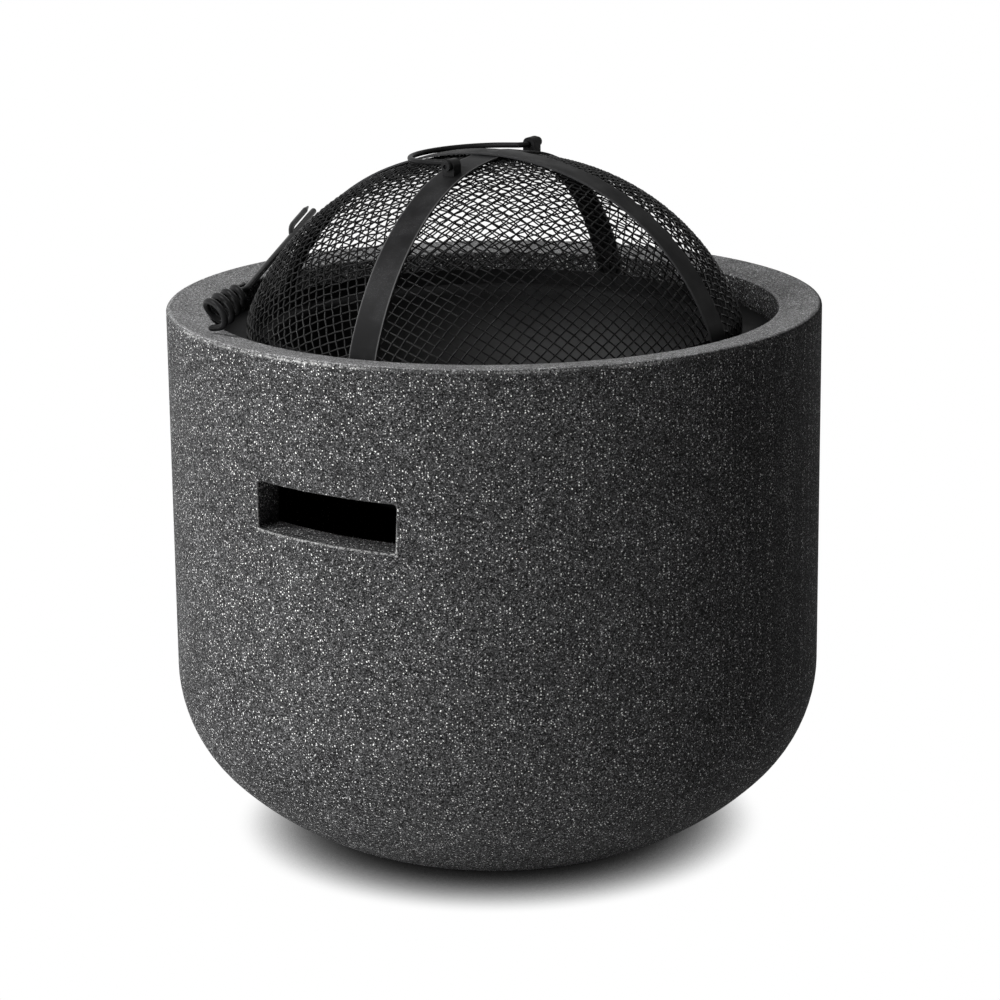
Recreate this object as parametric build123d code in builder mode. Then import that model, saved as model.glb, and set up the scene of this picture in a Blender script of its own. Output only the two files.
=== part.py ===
from build123d import *
import os
from math import asin, atan2, ceil, cos, hypot, pi, radians, sin, sqrt

os.makedirs("parts", exist_ok=True)

# Fire pit. The origin is the centre of the drum's flat base, +Z is up and -Y is the side of
# the front hand slot. All sizes are in millimetres and all angles in degrees.

# Drum, one casting
drum_radius = 250.0
drum_height = 420.0
drum_wall = 26.0
drum_floor = 30.0
base_radius = 120.0
upper_round = 115.0
lower_round = 230.0
round_split = 45.0
rim_width = 33.0
rim_fall = 4.0
rim_edge_round = 3.0
ledge_below_rim = 27.0
ledge_width = 14.0
ledge_face = 17.0
slot_width = 116.0
slot_height = 36.0
slot_below_rim = 115.5
slot_fall = 2.0
slot_corner = 3.0
slot_edge_round = 1.5

# Fire bowl, pressed from sheet
bowl_sheet = 2.0
flange_gap = 3.0
flange_width = 44.0
flange_edge_round = 0.8
lip_round = 6.0
bowl_depth = 125.0
bowl_corner = 95.0

# Log grate
grate_overhang = 30.0
grate_height = 25.0
grate_wire = 6.0
bar_wire = 5.0
bar_count = 7
foot_wire = 6.0
foot_inset = 6.0

# Spark screen: woven dome on a hoop, with two flat straps
screen_seat = 20.0
mesh_thickness = 1.6
mesh_straight = 4.0
mesh_pitch = 31.0
mesh_bar = 4.6
mesh_border = 5.5
mesh_crown_border = 2.0
least_opening = 60.0
edge_gap = 1.5
flank_inset = 5.0
shoulder_radius = 44.0
crown_flattening = 110.0
crown_reach = 44.0
hoop_thickness = 2.0
hoop_height = 12.0
strap_width = 23.0
strap_thickness = 1.6
strap_edge_round = 0.4
layer_gap = 0.05

# Rivets of the screen
rivet_height = 7.0
rivet_radius = 2.0
rivet_head_radius = 4.0
rivet_head = 1.8
rivet_tail = 1.2
apex_rivet_radius = 2.5
apex_head_radius = 4.5
apex_tail = 1.5
apex_washer_radius = 15.0
apex_washer_thickness = 1.5
hole_clearance = 0.1

# Bail and its two lugs
bail_wire = 4.2
bail_half_width = 48.0
bail_reach = 65.0
bail_bend = 6.0
lug_gap = 1.5
lug_length = 10.5
lug_width = 9.8
lug_over_pin = 4.8
lug_top_round = 4.6
pin_clearance = 0.08
strap_to_bail = 1.3
bail_rest_gap = 0.35
bail_end_gap = 0.5
bail_end_radius = 3.7
bail_end_length = 4.0
bail_end_dimple_radius = 1.6
bail_end_dimple_depth = 1.5

# Poker: rod, barb and wound handle, lying on the rim and leaning on the screen
poker_wire = 5.0
poker_azimuth = 238.5
poker_inset = 18.0
poker_gap = 0.5
poker_rim_gap = 1.3
rod_length = 190.0
rod_rise = 8.0
handle_rise = 2.5
coil_radius = 11.0
coil_end_radius = 10.5
coil_neck_radius = 6.6
coil_pitch = 18.5
coil_quarters = 15
coil_peak = 0.1
coil_start_angle = 262.0
coil_lean_turn = 162.0
coil_lean_rise = 28.0
coil_stub = 9.0
coil_tail = 20.0
barb_wire = 4.4
barb_back = 66.0
barb_lean = 32.0
barb_offset = 5.6
barb_short = 3.0
barb_point = 9.0
barb_point_radius = 0.7

# Heights and radii that follow from the sizes above
rim_inner_radius = drum_radius - rim_width
ledge_height = drum_height - ledge_below_rim
ledge_inner_radius = rim_inner_radius - ledge_width
flange_radius = rim_inner_radius - flange_gap
flange_top = ledge_height + bowl_sheet
mouth_radius = flange_radius - flange_width
bowl_flat_radius = mouth_radius - bowl_corner
bowl_floor = flange_top - bowl_depth
screen_radius = mouth_radius + screen_seat


def on_circle(centre, radius, lean):
    """Point of a circle, at an angle in radians measured from straight up."""
    return (centre[0] + radius * sin(lean), centre[1] + radius * cos(lean))


def arc(centre, radius, lean_from, lean_to):
    """Arc of a circle between two angles measured from straight up."""
    return ThreePointArc(
        on_circle(centre, radius, lean_from),
        on_circle(centre, radius, (lean_from + lean_to) / 2),
        on_circle(centre, radius, lean_to),
    )


# Drum: the wall runs into two rounds, which a flat base cuts off
split = radians(90 + round_split)
lower_x = drum_radius - upper_round + (upper_round - lower_round) * cos(radians(round_split))
lower_z = sqrt(lower_round**2 - (base_radius - lower_x) ** 2)
upper_z = lower_z + (upper_round - lower_round) * sin(radians(round_split))
lower_centre = (lower_x, lower_z)
upper_centre = (drum_radius - upper_round, upper_z)
base_lean = pi - asin((base_radius - lower_x) / lower_round)
inner_lower = lower_round - drum_wall
inner_upper = upper_round - drum_wall
floor_radius = lower_x + sqrt(inner_lower**2 - (lower_z - drum_floor) ** 2)
floor_lean = pi - asin((floor_radius - lower_x) / inner_lower)
inner_radius = drum_radius - drum_wall
ledge_foot = ledge_height - ledge_face
ledge_slope_foot = ledge_foot - (inner_radius - ledge_inner_radius)

with BuildPart() as drum_shell:
    with BuildSketch(Plane.XZ):
        with BuildLine():
            Line((0, 0), (base_radius, 0))
            arc(lower_centre, lower_round, base_lean, split)
            arc(upper_centre, upper_round, split, pi / 2)
            Polyline(
                (drum_radius, upper_z),
                (drum_radius, drum_height),
                (rim_inner_radius, drum_height - rim_fall),
                (rim_inner_radius, ledge_height),
                (ledge_inner_radius, ledge_height),
                (ledge_inner_radius, ledge_foot),
                (inner_radius, ledge_slope_foot),
                (inner_radius, upper_z),
            )
            arc(upper_centre, inner_upper, pi / 2, split)
            arc(lower_centre, inner_lower, split, floor_lean)
            Polyline((floor_radius, drum_floor), (0, drum_floor), (0, 0))
        make_face()
    revolve(axis=Axis.Z)
    rim_edges = drum_shell.edges().filter_by(GeomType.CIRCLE).group_by(Axis.Z)
    fillet(rim_edges[-1] + rim_edges[-2], rim_edge_round)
    with BuildSketch(Plane.XZ):
        with Locations((0, drum_height - slot_below_rim)):
            RectangleRounded(slot_width, slot_height, slot_corner, rotation=-slot_fall)
    extrude(amount=drum_radius + drum_wall, both=True, mode=Mode.SUBTRACT)
    slot_edges = drum_shell.faces().filter_by(GeomType.CYLINDER).sort_by(SortBy.AREA)[-1].inner_wires()
    fillet([edge for wire in slot_edges for edge in wire.edges()], slot_edge_round)
drum_shell.part.label = "drum_shell"
export_step(drum_shell.part, "parts/drum_shell.step")

# Fire bowl: flange, lip, short wall, round corner and flat floor
lip_centre = (mouth_radius + lip_round, flange_top - lip_round)
corner_centre = (bowl_flat_radius, bowl_floor + bowl_corner)

with BuildPart() as fire_bowl:
    with BuildSketch(Plane.XZ):
        with BuildLine():
            Line((flange_radius, flange_top), on_circle(lip_centre, lip_round, 0))
            arc(lip_centre, lip_round, 0, -pi / 2)
            Line(on_circle(lip_centre, lip_round, -pi / 2), on_circle(corner_centre, bowl_corner, pi / 2))
            arc(corner_centre, bowl_corner, pi / 2, pi)
            Polyline(
                on_circle(corner_centre, bowl_corner, pi),
                (0, bowl_floor),
                (0, bowl_floor - bowl_sheet),
                on_circle(corner_centre, bowl_corner + bowl_sheet, pi),
            )
            arc(corner_centre, bowl_corner + bowl_sheet, pi, pi / 2)
            Line(
                on_circle(corner_centre, bowl_corner + bowl_sheet, pi / 2),
                on_circle(lip_centre, lip_round - bowl_sheet, -pi / 2),
            )
            arc(lip_centre, lip_round - bowl_sheet, -pi / 2, 0)
            Polyline(
                on_circle(lip_centre, lip_round - bowl_sheet, 0),
                (flange_radius, flange_top - bowl_sheet),
                (flange_radius, flange_top),
            )
        make_face()
    revolve(axis=Axis.Z)
    rim_of_flange = fire_bowl.faces().filter_by(GeomType.CYLINDER).sort_by(SortBy.RADIUS)[-1]
    fillet(rim_of_flange.edges().filter_by(GeomType.CIRCLE), flange_edge_round)
fire_bowl.part.label = "fire_bowl"
export_step(fire_bowl.part, "parts/fire_bowl.step")

# Log grate: a ring, straight bars welded across it, and four feet under two of the bars
grate_radius = bowl_flat_radius + grate_overhang
ring_height = bowl_floor + grate_height
bar_height = ring_height + grate_wire / 2 + bar_wire / 2 + layer_gap
bar_pitch = 2 * grate_radius / (bar_count + 0.5)
foot_radius = bowl_flat_radius - foot_inset
foot_y = sqrt(foot_radius**2 - bar_pitch**2)
foot_length = bar_height - bar_wire / 2 - layer_gap - bowl_floor
bar_places = [(index - (bar_count - 1) / 2) * bar_pitch for index in range(bar_count)]

with BuildPart() as grate_ring:
    with Locations((0, 0, ring_height)):
        Torus(grate_radius, grate_wire / 2)
grate_ring.part.label = "grate_ring"
export_step(grate_ring.part, "parts/grate_ring.step")

with BuildPart() as grate_bars:
    for bar_x in bar_places:
        with Locations(Location((bar_x, 0, bar_height), (90, 0, 0))):
            Cylinder(bar_wire / 2, 2 * sqrt(grate_radius**2 - bar_x**2))
grate_bars.part.label = "grate_bars"
export_step(grate_bars.part, "parts/grate_bars.step")

with BuildPart() as grate_feet:
    with Locations((0, 0, bowl_floor)):
        with GridLocations(2 * bar_pitch, 2 * foot_y, 2, 2):
            Cylinder(foot_wire / 2, foot_length, align=(Align.CENTER, Align.CENTER, Align.MIN))
grate_feet.part.label = "grate_feet"
export_step(grate_feet.part, "parts/grate_feet.step")

# Dome line of the screen's outer face: a flat crown, a round flank and a tight shoulder that
# ends upright above the flange
flank_radius = screen_radius - flank_inset
crown_radius = flank_radius + crown_flattening
crown_lean = asin(crown_reach / crown_radius)
flank_x = crown_flattening * sin(crown_lean)
flank_lean = asin((screen_radius - flank_x - shoulder_radius) / (flank_radius - shoulder_radius))
shoulder_centre = (screen_radius - shoulder_radius, flange_top + mesh_straight)
flank_centre = (flank_x, shoulder_centre[1] - (flank_radius - shoulder_radius) * cos(flank_lean))
crown_centre = (0, flank_centre[1] - crown_flattening * cos(crown_lean))
crown_top = crown_centre[1] + crown_radius
screen_foot = flange_top + edge_gap

# The cross strap's crown is rounder, so that it passes over the long strap
edge_sag = (strap_width / 2) ** 2 / (2 * flank_radius)
cross_lift = strap_thickness + layer_gap + edge_sag
cross_sag = crown_top + cross_lift - flank_centre[1] - flank_radius
cross_excess = (flank_x**2 + cross_sag**2) / (2 * cross_sag)
cross_radius = flank_radius + cross_excess
cross_lean = asin(flank_x / cross_excess)
cross_centre = (0, crown_top + cross_lift - cross_radius)


def dome_line(offset, centre, radius, lean):
    """Lines from the top of a crown down to the screen's foot, moved outwards by an offset."""
    arc(centre, radius + offset, 0, lean)
    arc(flank_centre, flank_radius + offset, lean, flank_lean)
    arc(shoulder_centre, shoulder_radius + offset, flank_lean, pi / 2)
    Line((screen_radius + offset, shoulder_centre[1]), (screen_radius + offset, screen_foot))


def dome_band(inner, outer, centre, radius, lean):
    """Closed outline of a band between two offsets of a dome line, on one side of the axis."""
    dome_line(inner, centre, radius, lean)
    dome_line(outer, centre, radius, lean)
    Line((0, centre[1] + radius + inner), (0, centre[1] + radius + outer))
    Line((screen_radius + inner, screen_foot), (screen_radius + outer, screen_foot))


def height_over(distance, offset, centre, radius, lean):
    """Height of a dome line at a distance from the axis, within the crown or the flank."""
    if distance < (radius + offset) * sin(lean):
        return centre[1] + sqrt((radius + offset) ** 2 - distance**2)
    return flank_centre[1] + sqrt((flank_radius + offset) ** 2 - (distance - flank_x) ** 2)


def foot_rivet_holes():
    """Cross holes for the rivets at the strap feet."""
    hole_length = 2 * (screen_radius + strap_width)
    for turn in ((0, 90, 0), (90, 0, 0)):
        with Locations(Location((0, 0, flange_top + rivet_height), turn)):
            Cylinder(rivet_radius + hole_clearance, hole_length, mode=Mode.SUBTRACT)


def apex_hole():
    """Upright hole for the rivet where the straps cross."""
    with Locations((0, 0, crown_top)):
        Cylinder(apex_rivet_radius + hole_clearance, crown_flattening, mode=Mode.SUBTRACT)


# The weave stands as a coarse grid of square openings, cut straight up in line with the straps.
# A round border, the crown and corners of openings under a least area stay closed.
mesh_reach = screen_radius - mesh_border
openings_across = 2 * ceil(mesh_reach / mesh_pitch)
opening_side = mesh_pitch - mesh_bar

with BuildPart() as mesh_dome:
    with BuildSketch(Plane.XZ):
        with BuildLine():
            dome_band(-mesh_thickness, 0, crown_centre, crown_radius, crown_lean)
        make_face()
    revolve(axis=Axis.Z)
    with BuildSketch() as mesh_openings:
        with GridLocations(mesh_pitch, mesh_pitch, openings_across, openings_across):
            Rectangle(opening_side, opening_side)
        Circle(mesh_reach, mode=Mode.INTERSECT)
        Circle(apex_washer_radius + mesh_crown_border, mode=Mode.SUBTRACT)
    wide_openings = [face for face in mesh_openings.faces() if face.area > least_opening]
    extrude(wide_openings, amount=crown_top, mode=Mode.SUBTRACT)
    foot_rivet_holes()
    apex_hole()
mesh_dome.part.label = "mesh_dome"
export_step(mesh_dome.part, "parts/mesh_dome.step")

hoop_radius = screen_radius - mesh_thickness - layer_gap
with BuildPart() as base_hoop:
    with Locations((0, 0, flange_top)):
        Cylinder(hoop_radius, hoop_height, align=(Align.CENTER, Align.CENTER, Align.MIN))
        Cylinder(
            hoop_radius - hoop_thickness,
            hoop_height,
            align=(Align.CENTER, Align.CENTER, Align.MIN),
            mode=Mode.SUBTRACT,
        )
    with BuildSketch(Plane.XZ):
        with BuildLine():
            dome_band(-mesh_thickness - layer_gap, 0, crown_centre, crown_radius, crown_lean)
        make_face()
    revolve(axis=Axis.Z, mode=Mode.SUBTRACT)
    foot_rivet_holes()
base_hoop.part.label = "base_hoop"
export_step(base_hoop.part, "parts/base_hoop.step")

strap_outer = layer_gap + strap_thickness

with BuildPart() as strap_long:
    with BuildSketch(Plane.YZ):
        with BuildLine():
            dome_band(layer_gap, strap_outer, crown_centre, crown_radius, crown_lean)
        make_face()
        mirror(about=Plane.YZ)
    extrude(amount=strap_width / 2, both=True)
    strap_sides = strap_long.faces().filter_by(Axis.X)
    fillet([edge for face in strap_sides for edge in face.edges()], strap_edge_round)
    foot_rivet_holes()
    apex_hole()
strap_long.part.label = "strap_long"
export_step(strap_long.part, "parts/strap_long.step")

# The cross strap is countersunk for the rivet's flush head
cross_top = crown_top + cross_lift + strap_outer
with BuildPart() as strap_cross:
    with BuildSketch(Plane.XZ):
        with BuildLine():
            dome_band(layer_gap, strap_outer, cross_centre, cross_radius, cross_lean)
        make_face()
        mirror(about=Plane.YZ)
    extrude(amount=strap_width / 2, both=True)
    strap_sides = strap_cross.faces().filter_by(Axis.Y)
    fillet([edge for face in strap_sides for edge in face.edges()], strap_edge_round)
    foot_rivet_holes()
    apex_hole()
    with Locations((0, 0, cross_top - strap_thickness)):
        Cone(
            apex_rivet_radius + hole_clearance,
            apex_head_radius + hole_clearance,
            strap_thickness,
            align=(Align.CENTER, Align.CENTER, Align.MIN),
            mode=Mode.SUBTRACT,
        )
strap_cross.part.label = "strap_cross"
export_step(strap_cross.part, "parts/strap_cross.step")

# Rivet and washer under the crossing
washer_top = height_over(
    apex_washer_radius, -mesh_thickness - layer_gap, crown_centre, crown_radius, crown_lean
)
washer_foot = washer_top - apex_washer_thickness
with BuildPart() as apex_washer:
    with Locations((0, 0, washer_foot)):
        Cylinder(
            apex_washer_radius, apex_washer_thickness, align=(Align.CENTER, Align.CENTER, Align.MIN)
        )
    apex_hole()
apex_washer.part.label = "apex_washer"
export_step(apex_washer.part, "parts/apex_washer.step")

with BuildPart() as apex_rivet:
    with Locations((0, 0, cross_top - strap_thickness)):
        Cone(
            apex_rivet_radius,
            apex_head_radius,
            strap_thickness,
            align=(Align.CENTER, Align.CENTER, Align.MIN),
        )
    with Locations((0, 0, cross_top - strap_thickness)):
        Cylinder(
            apex_rivet_radius,
            cross_top - strap_thickness - washer_foot,
            align=(Align.CENTER, Align.CENTER, Align.MAX),
        )
    with Locations((0, 0, washer_foot)):
        Cylinder(apex_head_radius, apex_tail, align=(Align.CENTER, Align.CENTER, Align.MAX))
    fillet(apex_rivet.edges().group_by(Axis.Z)[0], apex_tail / 2)
apex_rivet.part.label = "apex_rivet"
export_step(apex_rivet.part, "parts/apex_rivet.step")

# Four rivets at the strap feet, head outside and tail inside the hoop
head_seat = screen_radius + strap_outer + layer_gap
tail_seat = sqrt((hoop_radius - hoop_thickness) ** 2 - rivet_head_radius**2)
with BuildPart(Plane((0, 0, flange_top + rivet_height), z_dir=(1, 0, 0))) as one_rivet:
    with Locations((0, 0, tail_seat)):
        Cylinder(
            rivet_radius, head_seat - tail_seat, align=(Align.CENTER, Align.CENTER, Align.MIN)
        )
        Cylinder(rivet_head_radius, rivet_tail, align=(Align.CENTER, Align.CENTER, Align.MAX))
    with Locations((0, 0, head_seat)):
        Cylinder(rivet_head_radius, rivet_head, align=(Align.CENTER, Align.CENTER, Align.MIN))
    fillet(one_rivet.edges().group_by(Axis.X)[-1], rivet_head * 0.8)

with BuildPart() as strap_foot_rivets:
    with PolarLocations(0, 4):
        add(one_rivet.part)
strap_foot_rivets.part.label = "strap_foot_rivets"
export_step(strap_foot_rivets.part, "parts/strap_foot_rivets.step")

# Bail lugs: blocks on the long strap, bored along Y for the bail's pins
pin_radius = bail_wire / 2
pin_start = bail_half_width - pin_radius
hinge_height = (
    height_over(pin_start, strap_outer, crown_centre, crown_radius, crown_lean)
    + pin_radius
    + strap_to_bail
)
lug_near = bail_half_width + bail_bend + lug_gap
lug_far = lug_near + lug_length
lug_top = hinge_height + lug_over_pin


def seat_point(distance):
    """Point of the long strap's upper face, under a lug."""
    return (
        distance,
        height_over(distance, strap_outer + layer_gap, crown_centre, crown_radius, crown_lean),
    )


with BuildPart() as bail_lug_rear:
    with BuildSketch(Plane.YZ):
        with BuildLine():
            ThreePointArc(
                seat_point(lug_near), seat_point((lug_near + lug_far) / 2), seat_point(lug_far)
            )
            Polyline(seat_point(lug_far), (lug_far, lug_top), (lug_near, lug_top), seat_point(lug_near))
        make_face()
    extrude(amount=lug_width / 2, both=True)
    fillet(bail_lug_rear.edges().filter_by(Axis.Y).group_by(Axis.Z)[-1], lug_top_round)
    with Locations(Location((0, lug_near, hinge_height), (90, 0, 0))):
        Cylinder(pin_radius + pin_clearance, 4 * lug_length, mode=Mode.SUBTRACT)
bail_lug_rear.part.label = "bail_lug_rear"
export_step(bail_lug_rear.part, "parts/bail_lug_rear.step")

with BuildPart() as bail_lug_front:
    add(mirror(bail_lug_rear.part, about=Plane.XZ, mode=Mode.PRIVATE))
bail_lug_front.part.label = "bail_lug_front"
export_step(bail_lug_front.part, "parts/bail_lug_front.step")

# Bail: drawn level, towards -X, then let down onto the cross strap
leg_length = bail_reach - bail_half_width


def rest_room(tilt):
    """Least room between the bail's grip and the cross strap's upper face, at a tilt."""
    rooms = []
    for step in range(21):
        across = strap_width / 2 * step / 20
        reach = leg_length + sqrt(bail_half_width**2 - across**2)
        out = reach * cos(radians(tilt))
        height = hinge_height - reach * sin(radians(tilt))
        if atan2(out, height - cross_centre[1]) < cross_lean:
            face = hypot(out, height - cross_centre[1]) - cross_radius
        else:
            face = hypot(out - flank_x, height - flank_centre[1]) - flank_radius
        rooms.append(face - strap_outer - pin_radius)
    return min(rooms)


bail_tilt = 0.0
steep_tilt = 30.0
for halving in range(40):
    tilt = (bail_tilt + steep_tilt) / 2
    if rest_room(tilt) > bail_rest_gap:
        bail_tilt = tilt
    else:
        steep_tilt = tilt
hinge_axis = Axis((0, 0, hinge_height), (0, 1, 0))
pin_end = lug_far + bail_end_gap

with BuildPart() as level_bail:
    with BuildLine() as bail_path:
        rear_pin = Line((0, pin_end, hinge_height), (0, bail_half_width + bail_bend, hinge_height))
        rear_bend = JernArc(rear_pin @ 1, rear_pin % 1, bail_bend, -90)
        rear_leg = Line(rear_bend @ 1, (-leg_length, bail_half_width, hinge_height))
        grip = JernArc(rear_leg @ 1, rear_leg % 1, bail_half_width, 180)
        front_leg = Line(grip @ 1, (-bail_bend, -bail_half_width, hinge_height))
        front_bend = JernArc(front_leg @ 1, front_leg % 1, bail_bend, -90)
        Line(front_bend @ 1, (0, -pin_end, hinge_height))
    with BuildSketch(Plane((0, pin_end, hinge_height), z_dir=(0, -1, 0))):
        Circle(pin_radius)
    sweep()

with BuildPart() as bail_handle:
    add(level_bail.part.rotate(hinge_axis, -bail_tilt))
bail_handle.part.label = "bail_handle"
export_step(bail_handle.part, "parts/bail_handle.step")

# Upset ends of the bail's pins, outside the lugs
with BuildPart() as bail_pin_ends:
    for side in (1, -1):
        with BuildSketch(Plane((0, side * pin_end, hinge_height), z_dir=(0, side, 0))):
            Circle(bail_end_radius)
        extrude(amount=bail_end_length)
        outer_plane = Plane((0, side * (pin_end + bail_end_length), hinge_height), z_dir=(0, side, 0))
        with BuildSketch(outer_plane):
            Circle(bail_end_dimple_radius)
        extrude(amount=-bail_end_dimple_depth, mode=Mode.SUBTRACT)
bail_pin_ends.part.label = "bail_pin_ends"
export_step(bail_pin_ends.part, "parts/bail_pin_ends.step")

# Poker: its wound handle lies on the rim, and the rod is turned outwards until it clears the screen
poker_radius = poker_wire / 2
coil_length = coil_quarters / 4 * coil_pitch


def direction(heading, rise):
    """Unit vector with a heading seen from above and a rise above level."""
    flat = cos(radians(rise))
    return Vector(flat * cos(radians(heading)), flat * sin(radians(heading)), sin(radians(rise)))


# The turns lean over: they are wound round one direction and strung along another
lean_axis = direction(poker_azimuth - coil_lean_turn, coil_lean_rise)
lean_side = Vector(0, 0, 1).cross(lean_axis).normalized()
lean_up = lean_axis.cross(lean_side)


def coil_size(share):
    """Radius of the handle's turns, at a share of its length from the open end."""
    if share < coil_peak:
        return coil_end_radius + (coil_radius - coil_end_radius) * sin(pi / 2 * share / coil_peak)
    fall = cos(pi / 2 * (share - coil_peak) / (1 - coil_peak))
    return coil_neck_radius + (coil_radius - coil_neck_radius) * fall


def coil_offset(quarter, heading):
    """Place on the handle's middle line, from the centre of its widest turn."""
    share = quarter / coil_quarters
    turn = radians(coil_start_angle) - quarter * pi / 2
    out = lean_side * cos(turn) + lean_up * sin(turn)
    along = direction(heading, handle_rise) * ((share - coil_peak) * coil_length)
    return along + out * coil_size(share)


def coil_heading(quarter, heading):
    """Direction of the handle's wire there."""
    step = 0.001
    before = coil_offset(max(quarter - step, 0), heading)
    after = coil_offset(min(quarter + step, coil_quarters), heading)
    return (after - before).normalized()


def stub_offset(heading):
    """Free end of the handle's wire, from the centre of its widest turn."""
    return coil_offset(0, heading) - coil_heading(0, heading) * coil_stub


def neck_offset(heading):
    """Place where the handle ends and the rod starts, from the centre of its widest turn."""
    return direction(heading, handle_rise) * ((1 - coil_peak) * coil_length + coil_tail)


def height_on_rim(place):
    """Height the wire's middle line needs at a place, to lie on the rim."""
    inset = drum_radius - hypot(place.X, place.Y)
    if inset > rim_width:
        return 0
    return drum_height - rim_fall * max(inset, 0) / rim_width + poker_radius + poker_rim_gap


def screen_gap(place):
    """Distance of a place from the screen's outer face."""
    distance = hypot(place.X, place.Y)
    lean = atan2(distance - flank_centre[0], place.Z - flank_centre[1])
    if lean < flank_lean:
        return hypot(distance - flank_centre[0], place.Z - flank_centre[1]) - flank_radius
    return hypot(distance - shoulder_centre[0], place.Z - shoulder_centre[1]) - shoulder_radius


def settle(heading):
    """Centre of the widest turn, with the handle lying on the rim at a heading."""
    flat = direction(poker_azimuth, 0) * (drum_radius - poker_inset)
    offsets = [coil_offset(step / 4, heading) for step in range(4 * coil_quarters + 1)]
    offsets.append(stub_offset(heading))
    return flat + Vector(0, 0, max(height_on_rim(flat + offset) - offset.Z for offset in offsets))


def screen_room(heading):
    """Least room between the poker and the screen, with the handle lying on the rim."""
    centre = settle(heading)
    start = centre + neck_offset(heading)
    places = [centre + coil_offset(step / 4, heading) for step in range(4 * coil_quarters + 1)]
    places += [start + direction(heading, rod_rise) * (rod_length * step / 60) for step in range(61)]
    return min(screen_gap(place) for place in places) - poker_radius


tight_heading = poker_azimuth - 180
rod_heading = poker_azimuth - 90
for halving in range(30):
    heading = (tight_heading + rod_heading) / 2
    if screen_room(heading) > poker_gap:
        rod_heading = heading
    else:
        tight_heading = heading

heel = settle(rod_heading)
neck = heel + neck_offset(rod_heading)
rod_axis = direction(rod_heading, rod_rise)
rod_side = Vector(0, 0, 1).cross(rod_axis).normalized()
rod_up = rod_axis.cross(rod_side)
tip = neck + rod_axis * rod_length


def biarc(start, start_heading, end, end_heading):
    """Two arcs that meet smoothly, between two points with given directions."""
    chord = end - start
    along = chord.dot(start_heading + end_heading)
    bend = 2 * (1 - start_heading.dot(end_heading))
    reach = (sqrt(along**2 + bend * chord.dot(chord)) - along) / bend
    first = start + start_heading * reach
    second = end - end_heading * reach
    middle = (first + second) * 0.5
    TangentArc(start, middle, tangent=start_heading)
    TangentArc(middle, end, tangent=second - first)


turns = [
    (heel + coil_offset(quarter, rod_heading), coil_heading(quarter, rod_heading))
    for quarter in range(coil_quarters + 1)
]
turns.append((neck - rod_axis * poker_wire, rod_axis))
wire_end = heel + stub_offset(rod_heading)

with BuildPart() as poker_handle:
    with BuildLine() as handle_path:
        Line(wire_end, turns[0][0])
        for (start, start_heading), (end, end_heading) in zip(turns, turns[1:]):
            biarc(start, start_heading, end, end_heading)
        Line(neck - rod_axis * poker_wire, neck)
    with BuildSketch(Plane(wire_end, z_dir=turns[0][1])):
        Circle(poker_radius)
    sweep()
poker_handle.part.label = "poker_handle"
export_step(poker_handle.part, "parts/poker_handle.step")

with BuildPart(Plane(neck, z_dir=rod_axis)) as poker_rod:
    Cylinder(
        poker_radius, (tip - neck).length, align=(Align.CENTER, Align.CENTER, Align.MIN)
    )
    fillet(poker_rod.edges().sort_by(Axis(neck, rod_axis))[-1], poker_radius * 0.8)
poker_rod.part.label = "poker_rod"
export_step(poker_rod.part, "parts/poker_rod.step")

# Barb: leaves the rod at a slant, curves until it runs beside the rod, and ends in a point
barb_out = (rod_side + rod_up).normalized()
barb_root = tip - rod_axis * barb_back
barb_bend = barb_offset / (1 - cos(radians(barb_lean)))


def barb_place(along, out):
    """Point in the plane of the rod and the barb."""
    return barb_root + rod_axis * along + barb_out * out


barb_half = radians(barb_lean / 2)
bend_middle = barb_place(
    barb_bend * (sin(radians(barb_lean)) - sin(barb_half)),
    barb_bend * (cos(barb_half) - cos(radians(barb_lean))),
)
bend_end = barb_place(barb_bend * sin(radians(barb_lean)), barb_offset)
point_start = barb_place(barb_back - barb_short - barb_point, barb_offset)
barb_heading = rod_axis * cos(radians(barb_lean)) + barb_out * sin(radians(barb_lean))

with BuildPart() as poker_barb:
    with BuildLine():
        ThreePointArc(barb_root, bend_middle, bend_end)
        Line(bend_end, point_start)
    with BuildSketch(Plane(barb_root, z_dir=barb_heading)):
        Circle(barb_wire / 2)
    sweep()
    with BuildSketch(Plane(point_start, z_dir=rod_axis)):
        Circle(barb_wire / 2)
    with BuildSketch(Plane(point_start + rod_axis * barb_point, z_dir=rod_axis)):
        Circle(barb_point_radius)
    loft()
    add(poker_rod.part, mode=Mode.SUBTRACT)
poker_barb.part.label = "poker_barb"
export_step(poker_barb.part, "parts/poker_barb.step")

# Least gap between the turns of the handle, measured on points of its middle line
sample_count = 600
samples = [handle_path.line @ (index / sample_count) for index in range(sample_count + 1)]
half_turn = int(sample_count / coil_quarters * 2)
least_gap = min(
    (samples[late] - samples[early]).length
    for early in range(sample_count)
    for late in range(early + half_turn, sample_count + 1)
) - poker_wire
bends = [edge.radius for edge in handle_path.edges().filter_by(GeomType.CIRCLE)]
print(f"poker handle: least gap between turns {least_gap:.2f} mm, tightest bend {min(bends):.2f} mm")
print(f"poker handle: volume {poker_handle.part.volume:.0f} mm3,"
      f" section times length {pi * poker_radius**2 * handle_path.wires()[0].length:.0f} mm3")
print(f"bail: hinge height {hinge_height:.3f} mm, rest tilt {bail_tilt:.3f} degrees")
print(f"poker: rod direction {rod_axis.X:.4f} {rod_axis.Y:.4f} {rod_axis.Z:.4f},"
      f" room to the screen {screen_room(rod_heading):.2f} mm")
print(f"poker: heel {heel.X:.1f} {heel.Y:.1f} {heel.Z:.1f}, neck {neck.X:.1f} {neck.Y:.1f} {neck.Z:.1f},"
      f" tip {tip.X:.1f} {tip.Y:.1f} {tip.Z:.1f}")
print(f"screen: crown height {crown_top:.2f} mm, cross strap top {cross_top:.2f} mm")
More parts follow.
